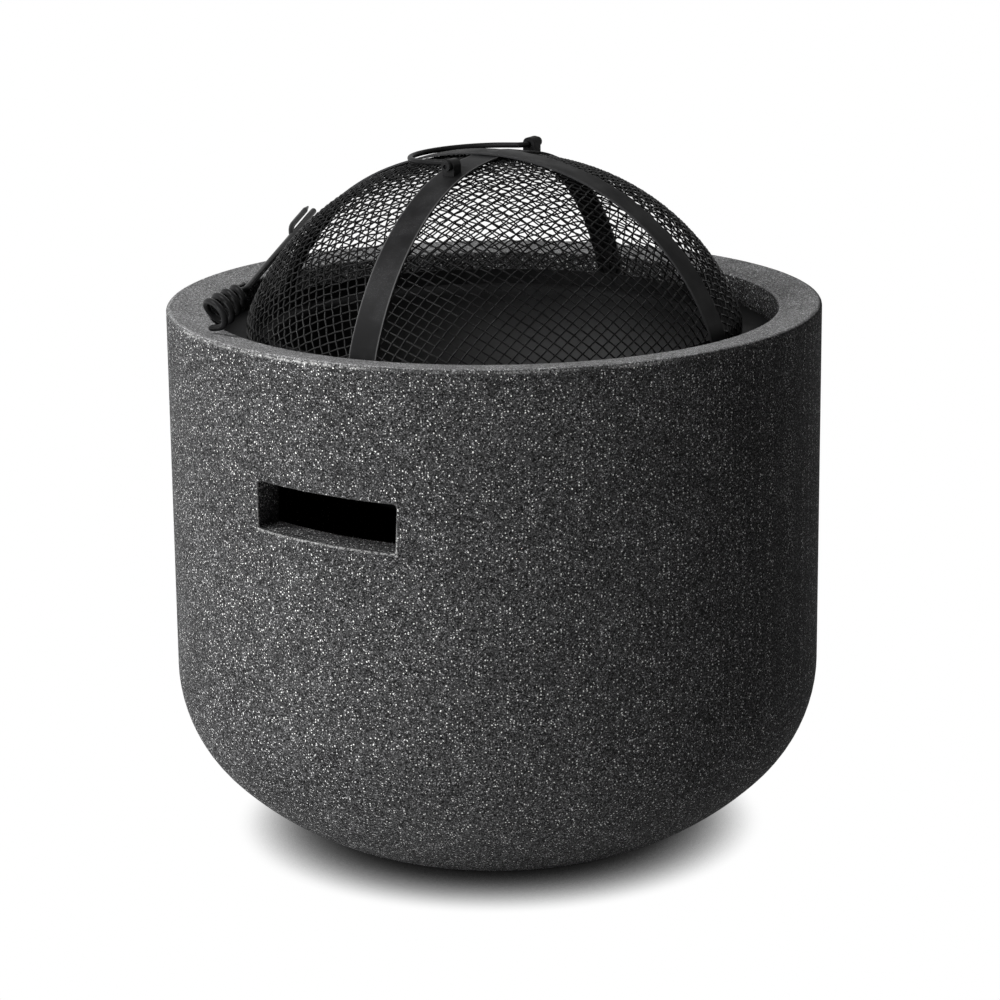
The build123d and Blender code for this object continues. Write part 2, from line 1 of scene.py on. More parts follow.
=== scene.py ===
# Dresses the fire pit's frame: finishes for every piece, a woven screen and a wound poker handle
from math import asin, atan2, ceil, cos, hypot, pi, radians, sin, sqrt, tan

import bmesh
import bpy
from bpy.props import FloatProperty, FloatVectorProperty, IntProperty, PointerProperty
from bpy.types import Operator, Panel, PropertyGroup
from mathutils import Matrix, Vector


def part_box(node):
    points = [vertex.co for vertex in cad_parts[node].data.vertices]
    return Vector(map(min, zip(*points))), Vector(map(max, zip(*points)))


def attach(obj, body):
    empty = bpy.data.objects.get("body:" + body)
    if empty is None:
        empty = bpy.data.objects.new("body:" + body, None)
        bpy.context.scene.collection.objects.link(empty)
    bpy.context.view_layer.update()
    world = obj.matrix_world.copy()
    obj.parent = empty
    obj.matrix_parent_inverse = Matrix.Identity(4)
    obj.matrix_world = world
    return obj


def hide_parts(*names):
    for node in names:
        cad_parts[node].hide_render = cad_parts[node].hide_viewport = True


bl_info = {
    "name": "Fire Pit Dresser",
    "version": (1, 0, 0),
    "blender": (4, 5, 0),
    "location": "View3D > Sidebar > Fire Pit",
    "description": "Gives the fire pit its finishes, its woven screen, its wound poker handle and a stage",
    "category": "Object",
}

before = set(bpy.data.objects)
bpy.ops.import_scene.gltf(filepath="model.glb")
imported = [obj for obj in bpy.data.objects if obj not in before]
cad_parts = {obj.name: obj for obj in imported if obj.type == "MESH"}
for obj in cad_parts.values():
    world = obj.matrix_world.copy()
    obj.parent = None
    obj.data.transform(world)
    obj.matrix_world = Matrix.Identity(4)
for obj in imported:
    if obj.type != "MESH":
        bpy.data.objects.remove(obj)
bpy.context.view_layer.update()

# Places that the frame gives
SCREEN_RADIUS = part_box("mesh_dome")[1].x
SCREEN_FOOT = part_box("mesh_dome")[0].z
FLANGE_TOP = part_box("fire_bowl")[1].z
DRUM_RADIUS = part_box("drum_shell")[1].x
RIM_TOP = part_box("drum_shell")[1].z

# Grain of the cast composite, in cells or grains to the metre
GRAIN_CELLS = 1500.0
FINE_CELLS = 1000.0
CHIP_CELLS = 510.0
WANDER_GRAINS = 620.0
CLUMP_GRAINS = 110.0
MOTTLE_GRAINS = 26.0
PIT_GRAINS = 300.0
BROKEN_GRAINS = 620.0
PATCH_GRAINS = 11.0
WANDER_REACH = 0.0008
SALT_POWER = 17.0
CHIP_SIZE = 0.3
CHIP_EDGE = 0.06

# Band at the top of the rim in which the drum's finish turns lighter
RIM_BAND_LOW = 0.0055
RIM_BAND_HIGH = 0.0042
RIM_INSET_FAR = 0.0016
RIM_INSET_NEAR = 0.0006
RIM_EDGE_DROP = 0.002

# Quarter panels of the weave
PANEL_HALF = radians(45.0)
PANEL_SLACK = radians(25.0)
PANEL_OVERLAP = 0.0015
PANEL_RUN = 0.275
PANEL_REACH = 0.185
LEAST_RUN = 0.008

# Lamps: degrees to the camera's left, height, distance, size, power and height of the target
LAMPS = {
    "key_left": (42.0, 0.95, 1.9, (0.5, 0.7), 25.0, 0.25),
    "high_left": (76.0, 1.9, 1.5, (0.8, 0.8), 40.0, 0.25),
    "low_left": (70.0, 0.1, 1.6, (0.9, 0.2), 10.0, 0.1),
}


def length(name, description, default):
    """Property for a length in metres."""
    return FloatProperty(
        name=name, description=description, default=default, precision=5, unit="LENGTH", subtype="DISTANCE"
    )


def angle(name, description, degrees):
    """Property for an angle, given in degrees."""
    return FloatProperty(
        name=name, description=description, default=radians(degrees), unit="ROTATION", subtype="ANGLE"
    )


def colour(name, description, grey):
    """Property for a colour, given as red, green and blue."""
    return FloatVectorProperty(
        name=name, description=description, default=grey, subtype="COLOR", size=3, min=0.0, max=1.0
    )


class ScreenSettings(PropertyGroup):
    """Sizes of the woven screen."""

    wire: length("Wire", "Diameter of the woven wire", 0.0012)
    pitch: length("Pitch", "Distance between wires in the flat panel", 0.0065)
    crimp: length("Crimp", "How far a wire bends up or down at a crossing", 0.00048)
    depth: length("Depth", "How far the weave's middle lies inside the screen's outer face", 0.0011)
    panel_apex: length("Panel apex", "Run from the flat panel's apex to the crown", 0.060)
    panel_share: FloatProperty(
        name="Panel share", description="Angle of the flat panel for each degree of the screen", default=0.56
    )
    crown_radius: length("Crown radius", "Radius of the flat crown", 0.295)
    crown_reach: length("Crown reach", "Distance from the axis at which the crown ends", 0.044)
    flank_radius: length("Flank radius", "Radius of the round flank", 0.185)
    shoulder_radius: length("Shoulder radius", "Radius of the tight shoulder", 0.044)
    straight: length("Straight", "Height of the upright edge over the flange", 0.004)


class PokerSettings(PropertyGroup):
    """Sizes of the poker's wound handle."""

    wire: length("Wire", "Diameter of the poker's wire", 0.005)
    coil_radius: length("Coil radius", "Radius of the widest turn", 0.011)
    end_radius: length("End radius", "Radius of the turn at the open end", 0.0105)
    neck_radius: length("Neck radius", "Radius of the turn beside the rod", 0.0066)
    pitch: length("Pitch", "Distance between turns", 0.0185)
    quarters: IntProperty(name="Quarter turns", description="Quarter turns of the handle", default=15)
    peak: FloatProperty(name="Peak", description="Share of the handle at which it is widest", default=0.1)
    start_angle: angle("Start angle", "Angle at which the winding starts", 262.0)
    lean_turn: angle("Lean turn", "Heading round which the turns are wound, from the handle's place", 162.0)
    lean_rise: angle("Lean rise", "Rise of the direction round which the turns are wound", 28.0)
    stub: length("Stub", "Straight end of the wire", 0.009)
    tail: length("Tail", "Run from the last turn to the rod", 0.020)
    place: angle("Place", "Azimuth of the handle's widest turn", 238.5)
    rise: angle("Rise", "Rise of the line along which the turns are strung", 2.5)
    points_per_quarter: IntProperty(
        name="Points", description="Points of the wire's line in a quarter turn", default=4
    )


class DrumSettings(PropertyGroup):
    """Places on the drum at which its finish changes."""

    slot_width: length("Slot width", "Width of a slot", 0.116)
    slot_height: length("Slot height", "Height of a slot", 0.036)
    slot_level: length("Slot level", "Height of the slots' middle over the floor", 0.3045)
    slot_fall: angle("Slot fall", "Fall of the slots towards the right of the front", 2.0)
    # Chipped wear and painted highlight along the edges of the rim and the slots
    edge_wear_and_highlight: length("Edge wear and highlight", "Reach of the wear and painted highlight along edges", 0.0021)


class FinishSettings(PropertyGroup):
    """Colours of the fire pit's finishes."""

    cast_wall: colour("Cast wall", "Grey of the cast composite's common grains", (0.06, 0.06, 0.061))
    cast_speck: colour("Cast specks", "Pale chips in the cast composite", (0.78, 0.78, 0.77))
    cast_rim: colour("Cast rim", "Rubbed top of the rim", (0.24, 0.24, 0.242))
    # Lighter edges of the rim and slots: chips and painted highlight
    cast_edge_chips_and_highlight: colour("Cast edge", "Chipped edges of the rim and the slots, partly painted highlight", (0.38, 0.38, 0.376))
    paint_black: colour("Black paint", "Satin black paint", (0.009, 0.009, 0.0093))
    paint_worn: colour("Worn paint", "Rubbed or dusty black paint", (0.036, 0.036, 0.037))
    # Painted highlight along the strap edges, and its reach
    strap_edge_highlight: colour("Edge highlight", "Painted highlight along a strap's edge", (0.1, 0.1, 0.1))
    strap_highlight_reach: length("Strap edge", "Reach of the painted highlight along a strap's edges", 0.0015)
    bowl_black: colour("Bowl black", "Matt heat-proof paint", (0.013, 0.013, 0.0133))
    # Painted light: a lighter band round the bowl's inner wall, thinning out towards the flange and the
    # bottom
    bowl_lit_band: colour("Bowl lit band", "Painted light on the bowl's inner wall", (0.065, 0.065, 0.0655))
    lit_band_level: length("Lit band level", "Height at which the painted light on the bowl is strongest", 0.338)
    lit_band_reach: length("Lit band reach", "Height over which the painted light on the bowl ends", 0.059)
    wire_black: colour("Wire black", "Paint of the woven wire", (0.0045, 0.0045, 0.0047))
    # Ash and painted light on the wire at the screen's foot, kept to the side that faces the lamps
    wire_ash_and_light: colour("Wire ash and light", "Ash on the wire at the screen's foot, with painted light on the lamp side", (0.027, 0.027, 0.027))
    ash_and_light_reach: length("Ash and light reach", "Height over which the ash and painted light thin out", 0.075)
    lit_side: angle("Lit side", "Azimuth of the lamp side that the painted light covers", 210.0)
    lit_spread: length("Lit spread", "Distance from the axis, towards the lamp side, at which the ash and painted light are full", 0.12)


class StageSettings(PropertyGroup):
    """Sizes and strengths of the stage."""

    camera_turn: angle("Camera turn", "Azimuth of the camera round the drum", 30.0)
    camera_back: length("Camera distance", "Level distance of the camera from the drum's axis", 2.5)
    camera_height: length("Camera height", "Height of the camera", 0.92188)
    camera_yaw: angle("Camera yaw", "Turn of the view to the right", 0.06956)
    camera_pitch: angle("Camera pitch", "Fall of the view", 14.82645)
    camera_roll: angle("Camera roll", "Roll of the view", -0.57413)
    lens: FloatProperty(name="Lens", description="Focal length in millimetres", default=119.748)
    floor_radius: length("Floor radius", "Radius of the floor", 6.0)
    shadow_reach: length("Shadow reach", "Distance over which the floor darkens near the drum", 0.042)
    ambient: FloatProperty(name="Ambient", description="Light from all round", default=0.04)


def add_node(tree, kind, inputs=None, **settings):
    """Node with its settings, and with values or links on its inputs."""
    made = tree.nodes.new(kind)
    for name, value in settings.items():
        setattr(made, name, value)
    for name, value in (inputs or {}).items():
        if isinstance(value, bpy.types.NodeSocket):
            tree.links.new(value, made.inputs[name])
        else:
            made.inputs[name].default_value = value
    return made


def maths(tree, operation, *values):
    """Result of a sum on values."""
    return add_node(tree, "ShaderNodeMath", dict(enumerate(values)), operation=operation).outputs[0]


def weighted(tree, base, *terms):
    """Sum of a base value and of other values times their weights."""
    for value, weight in terms:
        base = maths(tree, "MULTIPLY_ADD", value, weight, base)
    return base


def scaled(tree, colour_value, factor):
    """Colour made lighter or darker by a factor."""
    return add_node(
        tree, "ShaderNodeVectorMath", {0: colour_value, "Scale": factor}, operation="SCALE"
    ).outputs["Vector"]


def fade(tree, value, low, high, start=0.0, end=1.0):
    """Value that runs smoothly from start to end while the given one goes from low to high."""
    limits = {"Value": value, "From Min": low, "From Max": high, "To Min": start, "To Max": end}
    return add_node(tree, "ShaderNodeMapRange", limits, interpolation_type="SMOOTHSTEP").outputs[0]


def blend_colours(tree, factor, first, second):
    """Mix of two colours."""
    mix = add_node(tree, "ShaderNodeMix", data_type="RGBA")
    for socket, value in ((mix.inputs[0], factor), (mix.inputs[6], first), (mix.inputs[7], second)):
        if isinstance(value, bpy.types.NodeSocket):
            tree.links.new(value, socket)
        else:
            socket.default_value = value
    return mix.outputs[2]


def noise(tree, place, scale, detail=2.0, roughness=0.5):
    """Soft noise at a scale in grains to the metre."""
    inputs = {"Vector": place, "Scale": scale, "Detail": detail, "Roughness": roughness}
    return add_node(tree, "ShaderNodeTexNoise", inputs).outputs["Fac"]


def rgba(values):
    """Colour with full opacity."""
    return (*values, 1.0)


def new_group(name, inputs, outputs):
    """Empty shader group with named inputs and outputs."""
    group = bpy.data.node_groups.new(name, "ShaderNodeTree")
    for label, kind, default in inputs:
        socket = group.interface.new_socket(label, in_out="INPUT", socket_type=kind)
        if default is not None:
            socket.default_value = default
    for label, kind in outputs:
        group.interface.new_socket(label, in_out="OUTPUT", socket_type=kind)
    return group, group.nodes.new("NodeGroupInput"), group.nodes.new("NodeGroupOutput")


def cells(tree, place, scale):
    """Random value and distance from the middle, in cells at a scale in cells to the metre."""
    made = add_node(
        tree, "ShaderNodeTexVoronoi", {"Vector": place, "Scale": scale, "Randomness": 1.0}, feature="F1"
    )
    pick = add_node(tree, "ShaderNodeSeparateColor", {"Color": made.outputs["Color"]}).outputs[0]
    return pick, made.outputs["Distance"]


def make_cast_group():
    """Grain of the cast composite: salt and pepper grains, pale chips, broad mottling and pits."""
    group, given, result = new_group(
        "cast_grain",
        [("Vector", "NodeSocketVector", None)],
        [
            ("Tone", "NodeSocketFloat"),
            ("Fine", "NodeSocketFloat"),
            ("Chips", "NodeSocketFloat"),
            ("Mottle", "NodeSocketFloat"),
            ("Height", "NodeSocketFloat"),
        ],
    )
    place = given.outputs["Vector"]
    wander = add_node(group, "ShaderNodeTexNoise", {"Vector": place, "Scale": WANDER_GRAINS, "Detail": 1.0})
    moved = add_node(
        group,
        "ShaderNodeVectorMath",
        {0: wander.outputs["Color"], 1: (WANDER_REACH, WANDER_REACH, WANDER_REACH), 2: place},
        operation="MULTIPLY_ADD",
    ).outputs[0]
    grain = cells(group, place, GRAIN_CELLS)[0]
    fine = cells(group, moved, FINE_CELLS)[0]
    dark_grain = maths(group, "POWER", grain, 2.0)
    dark_fine = maths(group, "POWER", fine, 2.0)
    salt = maths(group, "POWER", grain, SALT_POWER)
    clumps = fade(group, noise(group, place, CLUMP_GRAINS, 2.0, 0.5), 0.3, 0.7, 0.92, 1.08)
    pepper = weighted(group, 0.03, (dark_grain, 0.9), (dark_fine, 0.9), (salt, 5.0))
    tone = maths(group, "MULTIPLY", pepper, clumps)
    soft = weighted(group, 0.3, (dark_fine, 0.8), (dark_grain, 0.8), (salt, 2.0))
    pick, distance = cells(group, moved, CHIP_CELLS)
    size = fade(group, pick, 0.15, 1.0, 0.0, CHIP_SIZE)
    chips = fade(group, maths(group, "SUBTRACT", size, distance), 0.0, CHIP_EDGE)
    mottle = fade(group, noise(group, place, MOTTLE_GRAINS, 4.0, 0.6), 0.3, 0.7, 0.88, 1.1)
    pits = fade(group, noise(group, place, PIT_GRAINS, 3.0, 0.55), 0.34, 0.5)
    height = weighted(group, 0.0, (grain, 0.5), (pits, 0.8))
    outputs = {"Tone": tone, "Fine": soft, "Chips": chips, "Mottle": mottle, "Height": height}
    for name, socket in outputs.items():
        group.links.new(socket, result.inputs[name])
    return group


def paint_group():
    """Skin of sprayed paint, made once: mottling, fine dust and the faint dimples of the spray."""
    made = bpy.data.node_groups.get("paint_skin")
    if made:
        return made
    group, given, result = new_group(
        "paint_skin",
        [
            ("Vector", "NodeSocketVector", None),
            ("Mottle Scale", "NodeSocketFloat", 40.0),
            ("Dimple Scale", "NodeSocketFloat", 900.0),
        ],
        [("Wear", "NodeSocketFloat"), ("Roughness", "NodeSocketFloat"), ("Height", "NodeSocketFloat")],
    )
    place = given.outputs["Vector"]
    broad = noise(group, place, given.outputs["Mottle Scale"], 5.0, 0.62)
    dust = fade(group, noise(group, place, given.outputs["Dimple Scale"], 3.0, 0.6), 0.52, 0.72)
    wear = maths(group, "MULTIPLY", fade(group, broad, 0.38, 0.7), maths(group, "ADD", dust, 0.35))
    rough = fade(group, broad, 0.25, 0.75, 0.36, 0.6)
    for name, socket in (("Wear", wear), ("Roughness", rough), ("Height", dust)):
        group.links.new(socket, result.inputs[name])
    return group


def new_material(name, colour_value):
    """Material with its shader, and a flat colour for the viewport."""
    material = bpy.data.materials.new(name)
    material.use_nodes = True
    material.diffuse_color = rgba(colour_value)
    tree = material.node_tree
    shader = tree.nodes["Principled BSDF"]
    place = add_node(tree, "ShaderNodeTexCoord").outputs["Object"]
    return material, tree, shader, place


def bump(tree, shader, height, strength, distance):
    """Relief on a shader."""
    made = add_node(
        tree, "ShaderNodeBump", {"Height": height, "Strength": strength, "Distance": distance}
    )
    tree.links.new(made.outputs["Normal"], shader.inputs["Normal"])


def near(tree, value, goal, reach):
    """Mask that is one at a goal value and falls to nothing at a reach from it."""
    away = maths(tree, "ABSOLUTE", maths(tree, "SUBTRACT", value, goal))
    return fade(tree, away, 0.0, reach, 1.0, 0.0)


def slot_edge(tree, drum, apart, reach):
    """Mask along the outer edge of both slots, strongest on the lower lip: chipped wear and painted
    highlight.
    """
    fall = maths(tree, "MULTIPLY", apart.outputs["X"], tan(drum.slot_fall))
    level = weighted(tree, -drum.slot_level, (apart.outputs["Z"], 1.0), (fall, 1.0))
    across = weighted(tree, -drum.slot_width / 2, (maths(tree, "ABSOLUTE", apart.outputs["X"]), 1.0))
    upright = weighted(tree, -drum.slot_height / 2, (maths(tree, "ABSOLUTE", level), 1.0))
    edge = near(tree, maths(tree, "MAXIMUM", across, upright), 0.0, drum.edge_wear_and_highlight)
    # Painted highlight: the lower lip, which faces up, is lighter than the upper one
    low = fade(tree, level, -drum.slot_height / 2, drum.slot_height / 3, 1.0, 0.1)
    outer = near(tree, reach, DRUM_RADIUS, drum.edge_wear_and_highlight)
    return maths(tree, "MULTIPLY", maths(tree, "MULTIPLY", edge, low), outer)


def make_cast_finish(finish, drum):
    """Dark cast composite with pale grains, lighter on top of the rim, and chipped at edges, whose lighter
    colour is partly painted highlight.
    """
    material, tree, shader, place = new_material("cast_composite", finish.cast_wall)
    grain = add_node(tree, "ShaderNodeGroup", node_tree=make_cast_group())
    tree.links.new(place, grain.inputs["Vector"])
    apart = add_node(tree, "ShaderNodeSeparateXYZ", {"Vector": place})
    flat = add_node(tree, "ShaderNodeCombineXYZ", {"X": apart.outputs["X"], "Y": apart.outputs["Y"]})
    reach = add_node(
        tree, "ShaderNodeVectorMath", {0: flat.outputs["Vector"]}, operation="LENGTH"
    ).outputs["Value"]
    high = fade(tree, apart.outputs["Z"], RIM_TOP - RIM_BAND_LOW, RIM_TOP - RIM_BAND_HIGH)
    inside = fade(tree, reach, DRUM_RADIUS - RIM_INSET_FAR, DRUM_RADIUS - RIM_INSET_NEAR, 1.0, 0.0)
    rim = maths(tree, "MULTIPLY", high, inside)
    wall = scaled(tree, finish.cast_wall, grain.outputs["Tone"])
    top = scaled(tree, finish.cast_rim, grain.outputs["Fine"])
    chipped = blend_colours(tree, grain.outputs["Chips"], wall, rgba(finish.cast_speck))
    ground = blend_colours(tree, rim, chipped, top)
    # Lighter band along the rim's outer edge: chips and painted highlight, broken into patches
    rim_edge = maths(
        tree,
        "MULTIPLY",
        near(tree, apart.outputs["Z"], RIM_TOP - RIM_EDGE_DROP, drum.edge_wear_and_highlight),
        near(tree, reach, DRUM_RADIUS, drum.edge_wear_and_highlight),
    )
    patches = fade(tree, noise(tree, place, PATCH_GRAINS, 2.0, 0.5), 0.42, 0.62, 0.15, 1.0)
    rim_edge = maths(tree, "MULTIPLY", rim_edge, patches)
    edges = maths(tree, "MAXIMUM", rim_edge, slot_edge(tree, drum, apart, reach))
    broken = fade(tree, noise(tree, place, BROKEN_GRAINS, 3.0, 0.6), 0.42, 0.55)
    worn = blend_colours(tree, maths(tree, "MULTIPLY", edges, broken), ground, rgba(finish.cast_edge_chips_and_highlight))
    toned = scaled(tree, worn, grain.outputs["Mottle"])
    tree.links.new(toned, shader.inputs["Base Color"])
    rough = fade(tree, grain.outputs["Chips"], 0.0, 1.0, 0.8, 0.55)
    tree.links.new(rough, shader.inputs["Roughness"])
    shader.inputs["Specular IOR Level"].default_value = 0.02
    bump(tree, shader, grain.outputs["Height"], 0.6, 0.0006)
    return material


def make_paint_finish(name, black, worn, amount, scales, gloss, shine, edge=None, side=None):
    """Black paint with mottling, dust and dimples, and a lighter band at a distance along an axis, kept to
    one side when a side is given: painted highlight on strap edges, painted light in the bowl, ashes with
    painted light on the wire.
    """
    material, tree, shader, place = new_material(name, black)
    skin = add_node(tree, "ShaderNodeGroup", node_tree=paint_group())
    tree.links.new(place, skin.inputs["Vector"])
    skin.inputs["Mottle Scale"].default_value = scales[0]
    skin.inputs["Dimple Scale"].default_value = scales[1]
    wear = maths(tree, "MULTIPLY", skin.outputs["Wear"], amount)
    painted = blend_colours(tree, wear, rgba(black), rgba(worn))
    if edge:
        axis, distance, reach, band_colour = edge
        apart = add_node(tree, "ShaderNodeSeparateXYZ", {"Vector": place})
        # Lighter band at a distance along an axis: painted highlight on the strap edges, painted light in
        # the bowl, ashes and painted light on the wire
        light_and_ash_band = near(tree, maths(tree, "ABSOLUTE", apart.outputs[axis]), distance, reach)
        # Painted light: the band is kept to the side that faces the lamps
        if side:
            azimuth, spread = side
            along = [(apart.outputs["X"], cos(azimuth)), (apart.outputs["Y"], sin(azimuth))]
            share = fade(tree, weighted(tree, 0.0, *along), 0.0, spread)
            light_and_ash_band = maths(tree, "MULTIPLY", light_and_ash_band, share)
        painted = blend_colours(tree, light_and_ash_band, painted, rgba(band_colour))
    tree.links.new(painted, shader.inputs["Base Color"])
    rough = maths(tree, "ADD", skin.outputs["Roughness"], gloss)
    tree.links.new(rough, shader.inputs["Roughness"])
    shader.inputs["Specular IOR Level"].default_value = shine
    bump(tree, shader, skin.outputs["Height"], 0.12, 0.0002)
    return material


def paint_nodes(material, *names):
    """Gives frame pieces a material."""
    for name in names:
        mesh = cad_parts[name].data
        mesh.materials.clear()
        mesh.materials.append(material)


def place_piece(mesh, name, material, body, slot, *replaced):
    """Shown piece from a mesh, riding on a body in place of frame pieces."""
    piece = bpy.data.objects.new(name, mesh)
    bpy.context.scene.collection.objects.link(piece)
    mesh.materials.clear()
    mesh.materials.append(material)
    for polygon in mesh.polygons:
        polygon.use_smooth = True
    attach(piece, body)
    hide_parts(*replaced)
    return piece


def mesh_of_curve(curve, name):
    """Mesh of a curve's tube."""
    carrier = bpy.data.objects.new(name, curve)
    bpy.context.scene.collection.objects.link(carrier)
    bpy.context.view_layer.update()
    solid = carrier.evaluated_get(bpy.context.evaluated_depsgraph_get())
    mesh = bpy.data.meshes.new_from_object(solid)
    bpy.data.objects.remove(carrier)
    bpy.data.curves.remove(curve)
    mesh.name = name
    return mesh


def tubes_of_wires(wires, name, thickness):
    """Round tubes along the loose edges of a bmesh, as a mesh."""
    mesh = bpy.data.meshes.new(name)
    wires.to_mesh(mesh)
    wires.free()
    carrier = bpy.data.objects.new(name, mesh)
    bpy.context.scene.collection.objects.link(carrier)
    bpy.ops.object.select_all(action="DESELECT")
    bpy.context.view_layer.objects.active = carrier
    carrier.select_set(True)
    bpy.ops.object.convert(target="CURVE")
    curve = carrier.data
    bpy.data.objects.remove(carrier)
    curve.bevel_depth = thickness / 2
    curve.bevel_resolution = 1
    curve.use_fill_caps = True
    return mesh_of_curve(curve, name)


class DomeLine:
    """Line of the screen's outer face, from the crown to the foot."""

    def __init__(self, screen):
        shoulder_x = SCREEN_RADIUS - screen.shoulder_radius
        self.foot_z = FLANGE_TOP + screen.straight
        excess = screen.crown_radius - screen.flank_radius
        crown_lean = asin(screen.crown_reach / screen.crown_radius)
        flank_x = excess * sin(crown_lean)
        fall = screen.flank_radius - screen.shoulder_radius
        flank_lean = asin((shoulder_x - flank_x) / fall)
        flank_z = self.foot_z - fall * cos(flank_lean)
        crown_z = flank_z - excess * cos(crown_lean)
        self.arcs = [
            (0.0, crown_z, screen.crown_radius, 0.0, crown_lean),
            (flank_x, flank_z, screen.flank_radius, crown_lean, flank_lean),
            (shoulder_x, self.foot_z, screen.shoulder_radius, flank_lean, pi / 2),
        ]

    def point(self, run, azimuth, inset):
        """Point at a run from the crown, moved inwards."""
        for x, z, radius, start, end in self.arcs:
            if run < radius * (end - start):
                lean = start + run / radius
                out = x + (radius - inset) * sin(lean)
                return Vector((out * cos(azimuth), out * sin(azimuth), z + (radius - inset) * cos(lean)))
            run -= radius * (end - start)
        out = SCREEN_RADIUS - inset
        return Vector((out * cos(azimuth), out * sin(azimuth), self.foot_z - run))


def weave_panel(screen, line, middle, family):
    """Wires of one family in the quarter panel round a middle azimuth, as loose edges."""
    centre = screen.panel_apex + PANEL_RUN / 2
    count = 2 * ceil(PANEL_REACH / screen.pitch)
    wires = bmesh.new()
    bmesh.ops.create_grid(wires, x_segments=count, y_segments=count, size=count * screen.pitch / 2)
    bmesh.ops.delete(wires, geom=wires.faces[:], context="FACES_ONLY")
    across = [e for e in wires.edges if abs((e.verts[0].co - e.verts[1].co)[family]) < screen.pitch / 2]
    bmesh.ops.delete(wires, geom=across, context="EDGES")
    stray = []
    for vert in wires.verts:
        column = round(vert.co.x / screen.pitch)
        row = round(vert.co.y / screen.pitch)
        side = 1 if (column + row + family) % 2 else -1
        flat_x = centre + (vert.co.x - vert.co.y) * cos(pi / 4)
        flat_y = (vert.co.x + vert.co.y) * cos(pi / 4)
        run = hypot(flat_x, flat_y) - screen.panel_apex
        turn = atan2(flat_y, flat_x) / screen.panel_share
        if run < LEAST_RUN or run > PANEL_RUN or abs(turn) > PANEL_HALF + PANEL_SLACK:
            stray.append(vert)
            continue
        vert.co = line.point(run, middle + turn, screen.depth + side * screen.crimp)
    bmesh.ops.delete(wires, geom=stray, context="VERTS")
    for side in (1, -1):
        edge = middle + side * PANEL_HALF
        outwards = Vector((-sin(edge), cos(edge), 0.0)) * side
        everything = wires.verts[:] + wires.edges[:]
        bmesh.ops.bisect_plane(
            wires, geom=everything, plane_co=outwards * PANEL_OVERLAP, plane_no=outwards, clear_outer=True
        )
    everything = wires.verts[:] + wires.edges[:]
    bmesh.ops.bisect_plane(
        wires, geom=everything, plane_co=(0, 0, SCREEN_FOOT), plane_no=(0, 0, -1), clear_outer=True
    )
    return wires


class FIREPIT_OT_drum(Operator):
    """Gives the cast drum its speckled composite."""

    bl_idname = "firepit.dress_drum"
    bl_label = "Dress Drum"

    def execute(self, context):
        scene = context.scene
        paint_nodes(make_cast_finish(scene.firepit_finish, scene.firepit_drum), "drum_shell")
        return {"FINISHED"}


class FIREPIT_OT_bowl(Operator):
    """Gives the fire bowl and the log grate their heat-proof paint."""

    bl_idname = "firepit.dress_bowl"
    bl_label = "Dress Bowl and Grate"

    def execute(self, context):
        finish = context.scene.firepit_finish
        # Painted light: a lighter band round the bowl's inner wall
        lit_wall_band = ("Z", finish.lit_band_level, finish.lit_band_reach, finish.bowl_lit_band)
        bowl = make_paint_finish(
            "bowl_paint", finish.bowl_black, finish.paint_worn,
            amount=0.4, scales=(22.0, 700.0), gloss=0.12, shine=0.015, edge=lit_wall_band
        )
        grate = make_paint_finish(
            "grate_paint", finish.bowl_black, finish.paint_worn,
            amount=0.6, scales=(60.0, 900.0), gloss=0.14, shine=0.1
        )
        paint_nodes(bowl, "fire_bowl")
        paint_nodes(grate, "grate_ring", "grate_bars", "grate_feet")
        return {"FINISHED"}


class FIREPIT_OT_screen_steel(Operator):
    """Gives the screen's hoop, straps, rivets and lugs their satin paint."""

    bl_idname = "firepit.dress_screen_steel"
    bl_label = "Dress Screen Steel"

    def execute(self, context):
        finish = context.scene.firepit_finish
        # Lighter bands along the strap edges are painted highlights, bright on the long strap and dim on the
        # cross strap; the cross strap gets little wear so that it renders darker, as painted shade
        straps = (
            ("strap_long", "X", 1.2, finish.strap_edge_highlight),
            ("strap_cross", "Y", 0.1, finish.paint_worn),
        )
        for name, axis, amount, band_colour in straps:
            half_width = getattr(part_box(name)[1], axis.lower())
            edge = (axis, half_width, finish.strap_highlight_reach, band_colour)
            paint = make_paint_finish(
                f"{name}_paint", finish.paint_black, finish.paint_worn,
                amount, scales=(34.0, 1300.0), gloss=0.0, shine=0.03, edge=edge
            )
            paint_nodes(paint, name)
        paint = make_paint_finish(
            "screen_paint", finish.paint_black, finish.paint_worn,
            amount=0.3, scales=(60.0, 1300.0), gloss=0.0, shine=0.04
        )
        paint_nodes(
            paint,
            "base_hoop",
            "apex_rivet",
            "apex_washer",
            "strap_foot_rivets",
            "bail_lug_front",
            "bail_lug_rear",
        )
        return {"FINISHED"}


